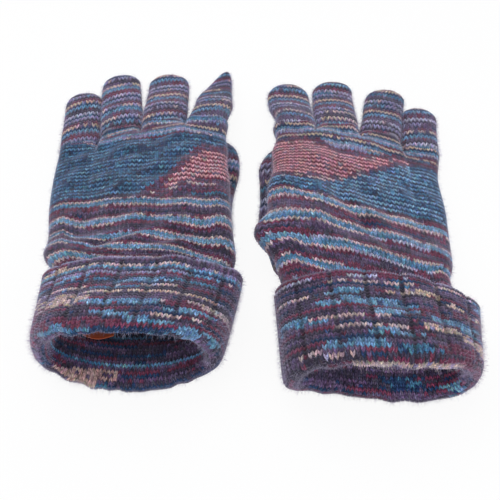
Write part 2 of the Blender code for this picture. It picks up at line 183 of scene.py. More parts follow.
def buildStudio():
    scene = bpy.context.scene
    scene.view_settings.view_transform = "Standard"
    camera = bpy.data.objects.new("camera", bpy.data.cameras.new("camera"))
    camera.data.lens = studio["lens"]
    camera.data.sensor_width = studio["sensor"]
    camera.data.clip_start = studio["nearest"]
    camera.location = studio["camera"]
    camera.rotation_euler = (math.radians(90 - studio["lookDown"]), 0.0, 0.0)
    scene.collection.objects.link(camera)
    scene.camera = camera

    bpy.ops.object.select_all(action="DESELECT")
    bpy.ops.mesh.primitive_plane_add(size=studio["floorSize"], location=(0, 0, -studio["floorDrop"]))
    floor = bpy.context.object
    floor.name = "floor"
    paint, tree = newMaterial("pale floor")
    shade = setSockets(tree.nodes["Principled BSDF"], studio["floorPaint"])
    white = addNode(tree, "Emission")
    mixForCamera(tree, shade, white, studio["floorWhite"], "Material Output")
    floor.data.materials.append(paint)

    world = bpy.data.worlds.new("soft room")
    scene.world = world
    world.use_nodes = True
    room = setSockets(world.node_tree.nodes["Background"], studio["room"])
    backdrop = addNode(world.node_tree, "Background")
    mixForCamera(world.node_tree, room, backdrop, 1.0, "World Output")

    for name in ("key", "fill"):
        lamp = bpy.data.lights.new(name, "AREA")
        lamp.energy = studio[name + "Power"]
        lamp.size = studio[name + "Size"]
        holder = bpy.data.objects.new(name, lamp)
        holder.location = studio[name + "Place"]
        holder.rotation_euler = (-holder.location).to_track_quat("-Z", "Y").to_euler()  # towards the gloves
        scene.collection.objects.link(holder)


buildStudio()
print("studio ready")


# yarn and stitches

yarns = {
    "blue": dye(100, 142, 178), "sky": dye(124, 162, 196), "teal": dye(70, 116, 152),
    "slate": dye(40, 62, 96), "dark": dye(66, 60, 80), "plum": dye(96, 80, 110),
    "maroon": dye(110, 56, 80), "rose": dye(226, 163, 174), "brick": dye(126, 51, 72),
    "pale": dye(190, 168, 172), "beige": dye(192, 168, 156), "lavender": dye(140, 136, 174),
    "mist": dye(168, 166, 194), "dusty": dye(172, 142, 140),
}
swaps = {  # what a strand may turn into for a few stitches
    "pale": ("maroon", "mist"), "beige": ("lavender", "pale", "plum"), "mist": ("lavender", "pale"),
    "blue": ("sky", "teal"), "sky": ("blue", "teal"), "teal": ("slate", "blue"),
    "dark": ("slate", "plum"), "plum": ("dark", "maroon"), "maroon": ("plum", "dark"),
    "slate": ("teal", "dark", "plum"), "lavender": ("blue", "plum", "pale"),
    "rose": ("rose", "pale"), "brick": ("maroon", "plum"), "dusty": ("beige", "plum"),
}
stitch = {
    "wale": 0.00222, "row": 0.00178,        # width and height of one stitch
    "bulge": 0.00068,                       # height of the yarn
    "heart": 0.35, "heartWidth": 0.2,       # height where the two legs of the V meet, and how wide that is
    "loopFoot": 0.15, "loopRound": 0.6,     # height between two rows, roundness of the yarn
    # purlShade: painted shade that darkens the purl grooves between the ribs
    "ribRise": 0.0005, "ribRound": 0.5, "ribFade": 4, "purlDepth": 0.0004, "purlShade": 0.40,
    "shade": (0.40, 1.08),                  # painted shade in the grooves and on the plain back, painted highlight on top of the yarn
    "jitter": 0.23, "hueJitter": 0.08, "toneRange": (0.004, 0.95), "floor": 0.0002, "weld": 1e-6,
    "tiny": 1e-12,                          # keeps a length above zero
}
fuzz = {  # loose fibres, most of them where the cloth turns away, their colour mixed toward a pale lavender painted sheen
    "length": (0.0008, 0.0030), "radius": 0.00004, "taper": 0.6, "lean": 0.6, "root": 0.0003,
    "pale": 0.55, "haze": dye(206, 198, 224),
}


def orderedRows(order, rows, wales, seed, first=0, swap=0.3, heather=0.12, runs=(6, 16)):
    # rows of named yarns in turn; a strand changes colour for a few stitches, and single stitches stray
    random = np.random.default_rng(seed)
    tones = np.zeros((rows, wales, 3))
    for r in range(rows):
        name = order[(r + first) % len(order)]
        at = 0
        while at < wales:
            length = int(random.integers(*runs))
            choice = swaps[name][random.integers(len(swaps[name]))]
            tones[r, at:at + length] = yarns[choice if random.random() < swap else name]
            at += length
        for other in swaps[name]:
            tones[r, random.random(wales) < heather / len(swaps[name])] = yarns[other]
    return tones


def closedStep(points, axis):
    # from the neighbour before to the neighbour after, where the points close on themselves
    loop = np.delete(points, -1, axis)
    step = np.roll(loop, -1, axis) - np.roll(loop, 1, axis)
    return np.concatenate([step, np.take(step, [0], axis)], axis)


def addFuzz(piece, roots, normals, tones, random, material):
    # one three-sided fibre, copied to every root
    bpy.ops.object.select_all(action="DESELECT")
    bpy.ops.mesh.primitive_cylinder_add(vertices=3, radius=1.0, depth=1.0, location=(0, 0, 0))
    hair = bpy.context.object
    shape = np.array([vertex.co for vertex in hair.data.vertices])
    copies = hair.modifiers.new("copies", "ARRAY")
    copies.count = len(roots)
    copies.use_relative_offset = False
    bpy.ops.object.modifier_apply(modifier=copies.name)
    up = normals + fuzz["lean"] * random.standard_normal(normals.shape)
    up /= np.linalg.norm(up, axis=1, keepdims=True)
    first = np.cross(up, random.standard_normal(up.shape))
    first /= np.linalg.norm(first, axis=1, keepdims=True)
    second = np.cross(up, first)
    length = random.uniform(*fuzz["length"], (len(roots), 1, 1))
    way = (shape[:, 2] + 0.5)[None, :, None]
    thin = fuzz["radius"] * (1 - fuzz["taper"] * way)
    points = roots[:, None] - fuzz["root"] * normals[:, None] + up[:, None] * way * length
    points = points + thin * (first[:, None] * shape[None, :, :1] + second[:, None] * shape[None, :, 1:2])
    points[..., 2] = np.maximum(points[..., 2], stitch["floor"])
    hair.data.vertices.foreach_set("co", points.reshape(-1).astype(np.float32))
    corners = len(hair.data.loops) // len(roots)
    # painted sheen: each fibre's yarn colour is mixed toward the pale lavender of the sheen
    paintYarn(hair.data, np.repeat(mix(tones, fuzz["haze"], fuzz["pale"]), corners, axis=0), "CORNER")
    hair.data.materials.append(material)
    piece.select_set(True)
    bpy.context.view_layer.objects.active = piece
    bpy.ops.object.join()


def ribFade(row, ribEnd):
    # ribs flatten out over a few rows
    return 1 - ease((row - ribEnd) / stitch["ribFade"])


def knitPiece(name, surface, wales, rows, tones, material, faces=(4, 3), ribs=0, ribRise=stitch["ribRise"],
              ribEnd=math.inf, vee=1.0, backLines=8, seed=1, fibres=0, fibreTop=0.03, fibreEnd=math.inf,
              floor=stitch["floor"]):
    # surface(around, along, deep) gives points: deep 0 is the face of the cloth, 1 its back.
    # The face is raised stitch by stitch into rows of Vs, and a plain back closes the shell.
    across, along = faces
    columns = wales * across
    lines = rows * along
    column = np.arange(columns + 1)
    wale = column / across
    rowAt = np.arange(lines + 1) / along
    side = np.abs(2 * (wale % 1) - 1)  # 1 between wales, 0 at the point of the V
    inRib = wale % ribs if ribs else 0 * wale
    purl = (inRib > ribs - 1) & (ribs > 0)
    fade = unit(np.minimum(rowAt, rows - rowAt))
    rise = vee * np.where(purl, 0.0, side - 0.5)[None, :] * fade[:, None]
    alongAt = unit((rowAt[:, None] + rise) / rows)
    aroundAt = np.broadcast_to((column % columns / columns)[None, :], alongAt.shape)
    face = surface(aroundAt, alongAt, 0.0)
    alongStep = np.gradient(face, axis=0) if backLines else closedStep(face, 0)
    normal = np.cross(closedStep(face, 1), alongStep)
    outward = np.sign((normal * (face - face.mean((0, 1)))).sum())
    normal *= outward / (np.linalg.norm(normal, axis=2, keepdims=True) + stitch["tiny"])
    leg = np.maximum(1 - (2 * side - 1) ** 2, stitch["heart"] * (side < stitch["heartWidth"]))
    loop = np.sin(math.pi * (rowAt % 1)) ** stitch["loopRound"]
    height = leg[None, :] * mix(stitch["loopFoot"], 1.0, loop)[:, None]
    lift = stitch["bulge"] * height
    if ribs:
        crown = np.sin(math.pi * unit(inRib / (ribs - 1))) ** stitch["ribRound"]
        crown = np.where(purl, -stitch["purlDepth"], ribRise * crown)
        lift = lift + crown[None, :] * ribFade(rowAt, ribEnd)[:, None]
    grid = face + normal * lift[:, :, None]
    rowOf = np.repeat(np.arange(rows), along)
    if backLines:
        backAt = np.linspace(1, 0, backLines)
        back = surface(*np.meshgrid(aroundAt[0], backAt), 1.0)
        grid = np.concatenate([grid, back, grid[:1]])
        rowOf = np.concatenate([rowOf, [rows - 1], (backAt[:-1] * (rows - 1)).astype(int), [0]])
        # the back has no raised yarn, so it gets the full painted groove shade
        height = np.concatenate([height, np.zeros((backLines, columns + 1)), height[:1]])
    else:  # the rows close on themselves
        grid[-1] = grid[0]
    grid[..., 2] = np.maximum(grid[..., 2], floor)

    piece = newGrid(name, grid)
    mesh = piece.data
    random = np.random.default_rng(seed)
    legs = np.repeat(tones, 2, axis=1)  # each leg of a V has a tone of its own
    legs = legs * (1 + stitch["jitter"] * random.standard_normal((rows, 2 * wales, 1)))
    legs = legs * (1 + stitch["hueJitter"] * random.standard_normal((rows, 2 * wales, 3)))
    legs = np.clip(legs, *stitch["toneRange"])
    tones = np.repeat(legs[rowOf], across // 2, axis=1).reshape(-1, 3)
    corner = np.zeros(len(mesh.loops), np.int32)
    mesh.loops.foreach_get("vertex_index", corner)
    # painted shade and highlight: each corner's yarn colour is darkened in the grooves and on the back, and
    # lifted on top of the yarn
    shade = mix(*stitch["shade"], height)
    if ribs:
        # painted shade in the purl grooves, fading out where the ribs flatten
        purlPaintedShade = np.where(purl, stitch["purlShade"], 1.0)[None, :]
        shadeRow = np.minimum(np.arange(len(grid)) / along, rows)
        shade = shade * mix(1.0, purlPaintedShade, ribFade(shadeRow, ribEnd)[:, None])
    paintYarn(mesh, np.repeat(tones, 4, axis=0) * shade.reshape(-1)[corner][:, None], "CORNER")
    faceOut(stitch["weld"])
    mesh.materials.append(material)
    if fibres:
        facing = np.abs(normal[..., 2])
        chance = (((1 - facing) ** 2 + fibreTop) * (rowAt < fibreEnd)[:, None]).reshape(-1)
        picked = random.choice(len(chance), fibres, p=chance / chance.sum())
        line, spot = np.divmod(picked, columns + 1)
        tone = legs[rowOf[np.minimum(line, lines - 1)], np.minimum(spot * 2 // across, 2 * wales - 1)]
        addFuzz(piece, grid[line, spot], normal[line, spot], tone, random, material)
    print(name, wales, "wales", rows, "rows", len(mesh.polygons), "faces")
    return piece


woolLook = {
    "surface": {"Roughness": 0.92, "Specular IOR Level": 0.2, "Sheen Weight": 0.55, "Sheen Roughness": 0.45,
                "Sheen Tint": (0.84, 0.80, 1.0, 1.0)},
    "fibre": {"Scale": 1600.0, "Detail": 3.0},
    "fibreTone": {"From Min": 0.3, "From Max": 0.7, "To Min": 0.45, "To Max": 1.55},
    "patch": {"Scale": 55.0, "Detail": 3.0},
    "patchTone": {"From Min": 0.3, "From Max": 0.7, "To Min": 0.86, "To Max": 1.14},
    "bump": {"Strength": 0.35, "Distance": 0.0003},
}


def woolMaterial(name):
    wool, tree = newMaterial(name)
    shader = setSockets(tree.nodes["Principled BSDF"], woolLook["surface"])
    yarn = addNode(tree, "Attribute")
    yarn.attribute_name = "yarn"
    place = addNode(tree, "TexCoord")
    tone = addNode(tree, "Math")
    tone.operation = "MULTIPLY"
    noise = {}
    for number, kind in enumerate(("fibre", "patch")):
        noise[kind] = addNode(tree, "TexNoise", woolLook[kind])
        spread = addNode(tree, "MapRange", woolLook[kind + "Tone"])
        link(place, "Object", noise[kind], "Vector")
        link(noise[kind], "Fac", spread, "Value")
        link(spread, "Result", tone, number)
    tinted = addNode(tree, "VectorMath")
    tinted.operation = "SCALE"
    link(yarn, "Color", tinted, 0)
    link(tone, 0, tinted, "Scale")
    link(tinted, 0, shader, "Base Color")
    bump = addNode(tree, "Bump", woolLook["bump"])
    link(noise["fibre"], "Fac", bump, "Height")
    link(bump, "Normal", shader, "Normal")
    return wool


wool = {slot: woolMaterial(slot.replace("_", " ")) for slot in
        ("striped_wool", "finger_wool", "plum_wool", "cuff_wool")}


# layout shared by both gloves, repeated from the CAD model

layout = {
    "fingerWidth": byFinger(0.0258, 0.0252, 0.0245, 0.0228),
    "fingerBase": byFinger(0.1210, 0.1270, 0.1260, 0.1155),
    "fingerLift": byFinger(1.0, 0.6, 0.2, 0.0),
    "fingerGap": 0.0010, "fingerRadius": 0.0062, "tipRadius": 0.0048,
    "palmLift": 0.0096, "seam": 0.0060, "morph": 0.0950, "bend": 0.0400, "widen": 3.2, "rise": 0.0278,
    "ribWidth": 0.0365, "ribHeight": 0.0121, "ribCentre": 0.0159, "ribWall": 0.0024, "ovalPower": 2.2,
    "thumbWidth": 0.0220, "thumbLength": 0.0670, "thumbRadius": 0.0046, "padSeat": 0.0016,
}
gloves = {"left": {}, "right": {}}


def bySide(**pairs):  # values of the left and of the right glove
    for key, values in pairs.items():
        for glove, value in zip(gloves.values(), values):
            glove[key] = value


bySide(
    side=(1, -1), foot=((0.0, 0.0), (0.0, 0.0)), splay=(5.4, 5.5), palmShift=(-0.0040, 0.0012),
    cuffEdge=(0.0015, -0.0020), cuffLength=(0.0500, 0.0458), mouthPull=(0.0080, 0.0040),
    cuffSlant=(0.0, -0.055), lean=(byFinger(9.0, 0.0, -6.2, -6.2), byFinger(6.0, 3.2, -6.4, -6.4)),
    length=(byFinger(0.0780, 0.0710, 0.0740, 0.0620), byFinger(0.0690, 0.0660, 0.0580, 0.0500)))
palmHalf = (sum(layout["fingerWidth"].values()) + 3 * layout["fingerGap"]) / 2
fingerCentre = {}
inner = palmHalf
for finger in fingers:
    fingerCentre[finger] = inner - layout["fingerWidth"][finger] / 2
    inner -= layout["fingerWidth"][finger] + layout["fingerGap"]


def hingeOf(name):
    joint = joints[name]
    axis = joint["axis"]
    return np.array(joint["pos_m"]), math.atan2(-axis[1], -axis[0])


def planPoint(glove, u, v):
    # u across the hand towards the thumb, v from the wrist seam to the fingertips
    splay = math.radians(glove["splay"])
    turn = splay * ease(v / layout["bend"])
    inward = glove["palmShift"] * ease(v / layout["morph"]) - math.sin(splay) * v + u * np.cos(turn)
    slant = glove["cuffSlant"] * (1 - ease(v / layout["bend"]))
    forward = math.cos(splay) * v + u * np.sin(turn) + slant * glove["side"] * u
    return glove["foot"][0] + glove["side"] * inward, glove["foot"][1] + forward


for name, glove in gloves.items():  # the hinge of the index finger places the glove
    hinge = hingeOf(name + "_index_bend")[0]
    x, y = planPoint(glove, fingerCentre["index"], layout["fingerBase"]["index"])
    glove["foot"] = (hinge[0] - x, hinge[1] - y)


def evenAngles(halfWidth, halfHeight, power):
    # angle against share of the way round a flat oval, so that stitches come out the same width
    angle = np.linspace(0, 2 * math.pi, num=2001)
    across, up = ovalPoint(angle, power)
    way = np.concatenate([[0], np.cumsum(np.hypot(np.diff(across * halfWidth), np.diff(up * halfHeight)))])
    return lambda share: np.interp(share, way / way[-1], angle), way[-1]


unevenness = {"waves": 7, "length": (0.010, 0.034), "phase": 6.28, "share": 3.5}


def wander(u, v, size, seed):
    # slow unevenness of hand-laid cloth
    random = np.random.default_rng(seed)
    total = np.zeros_like(u)
    for wave in range(unevenness["waves"]):
        length = random.uniform(*unevenness["length"])
        turn = random.uniform(0, 2 * math.pi)
        phase = random.uniform(0, unevenness["phase"])
        total += np.sin((u * math.cos(turn) + v * math.sin(turn)) * 2 * math.pi / length + phase)
    return total * size / unevenness["share"]


# the hand

handLook = {
    "power": 2.6, "girth": (0.046, 0.0085), "rowHalf": 0.042, "wall": 0.0015,
    "crotch": 0.0150, "slit": 0.0009, "slitWall": 0.6,
    "uneven": 0.0007, "calmTo": 0.004, "calmFade": 0.012,  # the seam end stays smooth
    "foldEnds": 0.25, "foldRidge": 0.6, "foldGroove": 0.6,
    "knit": {"faces": (4, 2), "vee": 0.85, "backLines": 12, "seed": 3, "fibres": 6000, "fibreTop": 0.10,
             "floor": 0.0006},
}
bySide(
    bulges=(  # of the outline: side, place, reach, size
        ((1, 0.010, 0.010, 0.0035), (-1, 0.016, 0.014, 0.0055), (1, 0.045, 0.022, -0.0040),
         (1, 0.078, 0.020, -0.0038), (1, 0.106, 0.012, -0.0026), (-1, 0.075, 0.030, -0.0008)),
        ((1, 0.027, 0.009, 0.0088), (1, 0.050, 0.018, -0.0008), (1, 0.080, 0.016, -0.0040),
         (1, 0.007, 0.007, 0.0030), (1, 0.108, 0.012, -0.0040), (-1, 0.050, 0.036, -0.0056),
         (-1, 0.090, 0.022, -0.0042))),
    folds=(  # from, to, width, depth
        (((-0.030, 0.010), (0.006, 0.026), 0.0045, 0.0014), ((-0.004, 0.012), (0.034, 0.020), 0.0050, 0.0014),
         ((-0.040, 0.044), (-0.008, 0.036), 0.0050, 0.0010)),
        (((0.018, 0.060), (-0.014, 0.008), 0.0060, 0.0014), ((0.036, 0.008), (0.020, 0.028), 0.0045, 0.0014),
         ((-0.012, 0.020), (-0.036, 0.012), 0.0045, 0.0010))),
    # marked rows, and where each one lies at five places across the hand
    rowMarks=((-10, 5, 13, 21, 29, 33, 66, 74), (-6, 5, 13, 21, 29, 33, 61, 74)),
    rowPlaces=(
        ((-0.004, -0.004, -0.004, -0.004, -0.004), (0.0232, 0.0105, 0.0090, 0.0079, 0.0030),
         (0.0321, 0.0190, 0.0190, 0.0150, 0.0141), (0.0416, 0.0326, 0.0308, 0.0240, 0.0255),
         (0.0532, 0.0489, 0.0441, 0.0365, 0.0372), (0.0587, 0.0555, 0.0507, 0.0428, 0.0434),
         (0.1110, 0.1115, 0.1120, 0.1090, 0.1030), (0.1160, 0.1215, 0.1270, 0.1240, 0.1210)),
        ((-0.010, -0.010, -0.010, -0.010, -0.010), (-0.0060, -0.0080, -0.0035, 0.0005, 0.0096),
         (0.0065, 0.0050, 0.0110, 0.0140, 0.0205), (0.0175, 0.0218, 0.0255, 0.0295, 0.0309),
         (0.0383, 0.0389, 0.0403, 0.0435, 0.0523), (0.0450, 0.0455, 0.0468, 0.0500, 0.0585),
         (0.0930, 0.0945, 0.0960, 0.0960, 0.0960), (0.1160, 0.1215, 0.1270, 0.1240, 0.1210))))
handAngles, handGirth = evenAngles(*handLook["girth"], handLook["power"])


def handEdge(glove):
    # where the hand ends across its width, little finger first
    places, ends = [], []
    for finger in reversed(fingers):
        half = layout["fingerWidth"][finger] / 2
        lean = math.tan(math.radians(glove["lean"][finger]))
        for edge in (-half, half):
            places.append(fingerCentre[finger] + edge)
            ends.append(layout["fingerBase"][finger] - edge * lean)
    return places, ends


def rowPlace(glove, row, u):
    # rows of the cloth bend across the hand: a smooth curve through five places on each marked row
    curves = np.polyfit(np.linspace(-1, 1, 5), np.array(glove["rowPlaces"]).T, 4)
    x = np.clip(u / handLook["rowHalf"], -1, 1)
    place = 0.0
    for curve in curves:
        place = place * x + np.interp(row, glove["rowMarks"], curve)
    return place


def creases(glove, u, v):
    # folds seen in the photograph, as grooves with a raised edge
    total = np.zeros_like(u)
    for (u0, v0), (u1, v1), width, depth in glove["folds"]:
        du, dv = u1 - u0, v1 - v0
        length = math.hypot(du, dv)
        t = ((u - u0) * du + (v - v0) * dv) / length
        off = ((u - u0) * dv - (v - v0) * du) / length
        fade = handLook["foldEnds"] * length
        ridge = handLook["foldRidge"] * hump(off, width, width)
        groove = hump(off, 0, handLook["foldGroove"] * width)
        total += ease(t / fade) * ease((length - t) / fade) * depth * (ridge - groove)
    return total


def handSurface(glove):
    places, ends = handEdge(glove)
    firstRow, lastRow = glove["rowMarks"][0], glove["rowMarks"][-1]
    radius = layout["fingerRadius"]
    centres = [fingerCentre[finger] for finger in fingers]
    halves = [layout["fingerWidth"][finger] / 2 for finger in fingers]
    lifts = [layout["fingerLift"][finger] for finger in fingers]
    slopeAt = [centres[3] + halves[3], centres[2], centres[1], centres[0] - halves[0]]

    def surface(around, along, deep):
        inset = deep * handLook["wall"]
        across, up = ovalPoint(handAngles(around), handLook["power"])
        palmU = across * palmHalf
        end = np.interp(palmU, places, ends)
        v = np.minimum(rowPlace(glove, firstRow + along * (lastRow - firstRow), palmU), end)
        v = np.where(along < 1, v, end)
        half = mix(layout["ribHeight"], radius, unit(v / end))
        lift = np.interp(palmU, slopeAt, lifts[::-1]) * layout["palmLift"]
        palmZ = lift + half + up * (half - inset)
        ribU = across * (layout["ribWidth"] - inset)
        ribZ = layout["ribCentre"] + up * (layout["ribHeight"] - inset)
        wide = unit((v - layout["seam"]) / layout["morph"])
        u = mix(ribU, palmU - across * inset, 1 - (1 - wide) ** layout["widen"])
        for way, at, reach, size in glove["bulges"]:
            u = u + way * size * hump(v, at, reach) * unit(way * across) ** 4
        z = mix(ribZ, palmZ, ease((v - layout["seam"]) / layout["rise"]))
        # between the fingers the cloth dips to the crotch
        owner = np.argmin([np.abs(palmU - at) - own for at, own in zip(centres, halves)], axis=0)
        flat = np.choose(owner, halves) - radius
        beside = np.clip(np.abs(palmU - np.choose(owner, centres)) - flat, 0, radius)
        crown = np.maximum(np.sqrt(radius ** 2 - beside ** 2), handLook["slit"])
        crown = crown - deep * np.minimum(handLook["wall"], handLook["slitWall"] * crown)
        fingerZ = np.choose(owner, lifts) * layout["palmLift"] + radius + np.sign(up) * crown
        dip = ease((v - (end - handLook["crotch"])) / handLook["crotch"])
        z = mix(z, fingerZ, dip)
        x, y = planPoint(glove, u, v)
        soft = ease((v - handLook["calmTo"]) / handLook["calmFade"]) * (1 - dip)
        bumps = wander(u, v, handLook["uneven"], seed=11 + glove["side"])
        z = z + soft * unit(up) * (creases(glove, u, v) + bumps)
        return np.stack([x, y, z], axis=2)

    return surface, int(round(handGirth / stitch["wale"])), lastRow - firstRow


handYarn = {
    "stripes": "maroon dark plum maroon pale blue sky pale".split(),
    "upper": "beige maroon lavender mist blue slate".split(),
    "stripeStrand": {"swap": 0.28, "heather": 0.16, "runs": (6, 20)},
    "stripeEnd": 33.2,  # row where the stripes give way to the blue band
    "ragRun": 5, "stripeRag": 0.6, "blueRag": 0.004, "pinkRag": 0.0013,  # borders step every few wales
    "otherBlue": 0.4, "stray": 0.10, "paleFrom": 0.0040, "paleTo": 0.0022,
}
bySide(
    zoneBlue=(("teal", "blue"), ("blue", "teal")), zoneTone=((0.80, 0.92, 0.94), (1.06, 1.12, 1.15)),
    skyShare=(-1.0, 0.2), stripeTone=(1.0, 1.15), blueTop=(0.1055, 0.103), blueTilt=(-0.0077, 0.0),
    blueOverPink=(True, False), pinkUnder=(0.0120, 0.0040), pinkOver=(0.0075, 0.0040),
    pink=(  # lower and upper edge of the pink patch across the hand
        {"at": (-0.15, 0.05, 0.20, 0.30, 0.50, 0.60, 0.69, 0.80, 1.0),
         "low": (0.0500, 0.0510, 0.0530, 0.0537, 0.0547, 0.0550, 0.0554, 0.0563, 0.0570),
         "high": (0.0420, 0.0470, 0.0528, 0.0590, 0.0706, 0.0772, 0.0815, 0.0820, 0.0830)},
        {"at": (-0.70, -0.50, -0.24, 0.10, 0.31, 0.52, 1.0),
         "low": (0.0990, 0.0945, 0.0860, 0.0722, 0.0668, 0.0666, 0.0700),
         "high": (0.0960, 0.0985, 0.0950, 0.0920, 0.0940, 0.1000, 0.1005)}))


def handTones(glove, wales, rows):
    x = ovalPoint(handAngles((np.arange(wales) + 0.5) / wales), handLook["power"])[0][None, :]
    first = glove["rowMarks"][0]
    row = np.arange(rows)[:, None] + first + 0.0 * x
    place = rowPlace(glove, row, x * palmHalf)
    odd = (row - first) % 2 == 1
    random = np.random.default_rng(seed=31 + glove["side"])
    run = handYarn["ragRun"]
    ragged = np.repeat(random.uniform(-1, 1, (rows, wales // run + 1)), run, axis=1)[:, :wales]
    stray = random.random((rows, wales))
    tones = orderedRows(handYarn["upper"], rows, wales, seed=7 + glove["side"])
    stripes = orderedRows(handYarn["stripes"], rows, wales, seed=17 + glove["side"], first=first,
                          **handYarn["stripeStrand"])

    def put(where, light, dark):
        for mask, name in ((where & ~odd, light), (where & odd, dark)):
            tones[mask] = yarns[name]
            for number, other in enumerate(swaps[name][:2]):
                above = stray > number * handYarn["stray"]
                tones[mask & above & (stray < (number + 1) * handYarn["stray"])] = yarns[other]

    low = row + handYarn["stripeRag"] * ragged < handYarn["stripeEnd"]
    blueTop = glove["blueTop"] + glove["blueTilt"] * x + handYarn["blueRag"] * ragged
    pinkLow, pinkHigh = (np.interp(x, glove["pink"]["at"], glove["pink"][edge]) for edge in ("low", "high"))
    loose = place + handYarn["pinkRag"] * ragged
    pink = (loose > pinkLow) & (loose < pinkHigh)
    margin = (loose > pinkLow - glove["pinkUnder"]) & (loose < pinkHigh + glove["pinkOver"]) & ~pink & ~low
    paleRow = (loose > pinkLow - handYarn["paleFrom"]) & (loose < pinkLow - handYarn["paleTo"]) & (x > 0)
    blue = ~low & (loose < blueTop)
    if not glove["blueOverPink"]:
        blue &= loose < pinkHigh
    put(blue, glove["zoneBlue"][0], "slate")
    put(blue & (ragged > handYarn["otherBlue"]), glove["zoneBlue"][1], "slate")
    put(blue & (ragged < glove["skyShare"]), "sky", "slate")
    tones[blue] *= glove["zoneTone"]
    put(margin, "plum", "maroon")
    put(margin & paleRow, "pale", "maroon")
    put(pink & ~low, "rose", "brick")
    tones[low] = stripes[low] * glove["stripeTone"]
    return tones


for name, glove in gloves.items():
    surface, wales, rows = handSurface(glove)
    tones = handTones(glove, wales, rows)
    hand = knitPiece(name + "_hand_knit", surface, wales, rows, tones, wool["striped_wool"],
                     **handLook["knit"])
    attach(hand, name + "_glove")
    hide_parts(name + "_hand", name + "_index_middle_bridge", name + "_middle_ring_bridge",
                name + "_ring_little_bridge")
print("hands knitted")


# fingers and thumbs

digitLook = {
    "start": -0.0020, "bendEnd": 0.0150, "flatPower": 2.4, "wall": 0.0014, "spread": 0.0006,
    "wale": 0.0025, "row": 0.0030, "tipRound": 0.6, "uneven": 0.0004, "calm": 0.0200, "sideBumps": 0.6,
    "taperStart": 0.0170, "taperLength": 0.0610, "taperPower": 1.6,
    "thumbStart": -0.0040, "thumbBendEnd": 0.0120, "thumbTip": 0.0220, "thumbStretch": 0.0050,
    "order": "mist maroon plum blue slate beige maroon dark lavender slate".split(),
    "strand": {"swap": 0.36, "heather": 0.14, "runs": (5, 14)}, "fibres": 2400, "faces": (6, 4),
}
bySide(
    sway=(byFinger(-0.0054, 0.0026, 0.0024, 0.0026), byFinger(0.0006, 0.0024, 0.0030, -0.0014)),
    stretch=(byFinger(-0.0030, -0.0004, 0.0, 0.0012), byFinger(-0.0056, 0.0, 0.0022, -0.0004)),
    tip=(byFinger(0.0125, 0.0110, 0.0110, 0.0110), byFinger(0.0135, 0.0120, 0.0110, 0.0120)),
    taper=(byFinger(0.86, 0.0, 0.0, 0.0), byFinger(0.0, 0.0, 0.0, 0.0)),
    rowTilt=(byFinger(0.0055, 0.0020, 0.0035, 0.0035), byFinger(-0.0030, -0.0020, -0.0015, 0.0015)),
    waist=(  # where a side is drawn in: side, depth, place, reach
        {"index": ((1, 0.0026, 0.002, 0.014), (-1, 0.0034, 0.017, 0.016), (1, 0.0013, 0.050, 0.016)),
         "middle": ((1, -0.0010, 0.030, 0.030),), "ring": ((1, -0.0008, 0.020, 0.020),),
         "little": ((-1, 0.0010, 0.030, 0.035),), "thumb": ((1, 0.0042, 0.012, 0.024),)},
        {"index": ((1, 0.0046, 0.012, 0.016),), "middle": (), "ring": ((1, 0.0016, 0.020, 0.020),),
         "little": ((-1, 0.0024, 0.018, 0.032),), "thumb": ((1, -0.0030, 0.050, 0.018),)}))


def tipDraw(taper, y):
    # how far the tapered side is drawn in, along the finger
    way = unit((y - digitLook["taperStart"]) / digitLook["taperLength"])
    return taper * way ** digitLook["taperPower"]


def digitSurface(origin, turn, side, start, width, length, radius, tipRadius, tipLength, seed,
                 lift=0.0, tipLift=0.0, sway=0.0, taper=0.0, waists=(), rowTilt=0.0):
    # a flat tube with a rounded end: sway bends it sideways, taper and waists draw in one side
    angles, girth = evenAngles(width / 2, radius, digitLook["flatPower"])

    def surface(around, along, deep):
        inset = deep * digitLook["wall"]
        end = length - inset
        straight = end - tipLength
        across, up = ovalPoint(angles(around), digitLook["flatPower"])
        y = mix(start, end, along)
        y = np.minimum(y + rowTilt * across * np.sqrt(np.sin(math.pi * along)) * (along < 1), end)
        share = ease(y / straight)
        half = mix(radius, tipRadius, share)
        bottom = mix(lift, tipLift, share)
        over = unit((y - straight) / tipLength)
        narrow = np.sqrt(1 - over ** 2)
        wide = (width / 2 - inset) * narrow
        tall = (half - inset) * narrow ** digitLook["tipRound"]
        drawn = tipDraw(taper, y)
        x = side * wide + (across - side) * wide * (1 - drawn)
        x = x + drawn * side * (width / 2 - wide) + sway * unit(y / length) ** 2
        for way, size, at, reach in waists:
            x = x - size * way * side * hump(y, at, reach) * unit(across * way * side) ** 2
        z = bottom + half - lift - radius + up * tall
        bumps = wander(x, y, digitLook["uneven"], seed) * (ease(y / digitLook["calm"]) * narrow)
        z = z + bumps * unit(up)
        x = x + bumps * across * digitLook["sideBumps"]
        return np.stack([*turned(origin, turn, x, y), origin[2] + z], axis=2)

    return surface, int(round(girth / digitLook["wale"])), int(round((length - start) / digitLook["row"]))


def knitDigit(name, digit, hinge, shape, bendEnd, yarnSeed, first, **knit):
    surface, wales, rows = shape
    tones = orderedRows(digitLook["order"], rows, wales, yarnSeed, first, **digitLook["strand"])
    piece = knitPiece(f"{name}_{digit}_knit", surface, wales, rows, tones, wool["finger_wool"],
                      fibres=digitLook["fibres"], **knit)
    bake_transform(piece)
    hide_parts(f"{name}_{digit}")


